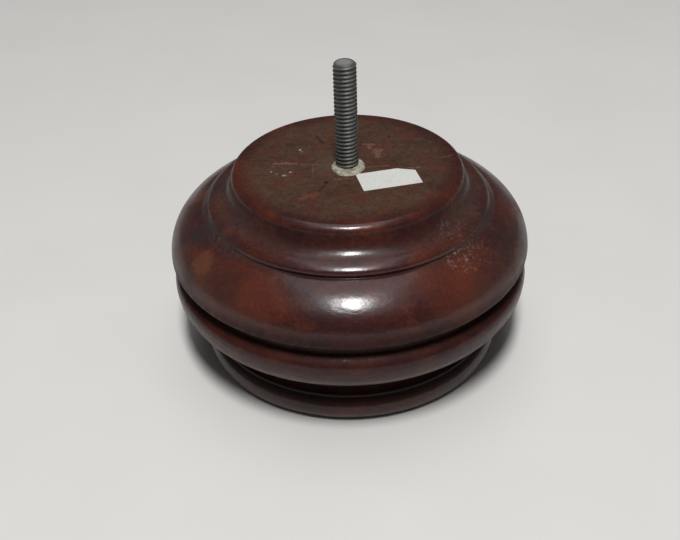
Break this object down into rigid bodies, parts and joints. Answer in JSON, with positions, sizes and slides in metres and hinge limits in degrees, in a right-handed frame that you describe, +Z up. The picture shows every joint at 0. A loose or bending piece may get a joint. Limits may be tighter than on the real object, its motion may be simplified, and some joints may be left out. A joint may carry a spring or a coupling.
{
  "type": "furniture bun foot",
  "caption": "Turned wooden bun foot with stacked beads and coves, a flat mounting face, a glued-in threaded stud and a blank paper label.",
  "frame": {"origin": "centre of the flat underside the foot stands on", "axes": "+Z up along the turning axis, through the stud; +X to the right and +Y away from the side that carries the label"},
  "size_m": [0.1248, 0.1248, 0.1066],
  "materials": {
    "stained_wood": "dark red-brown stain with darker glaze in the grooves, satin-gloss lacquer on the turned sides, dull on the mounting face",
    "stud_steel": "dull grey rolled thread",
    "dried_glue": "cream, cloudy, uneven",
    "label_paper": "plain white, blank"
  },
  "bodies": {
    "root": {"bun_body": "stained_wood", "hanger_bolt": "stud_steel", "glue_collar": "dried_glue", "paper_label": "label_paper"}
  },
  "joints": []
}
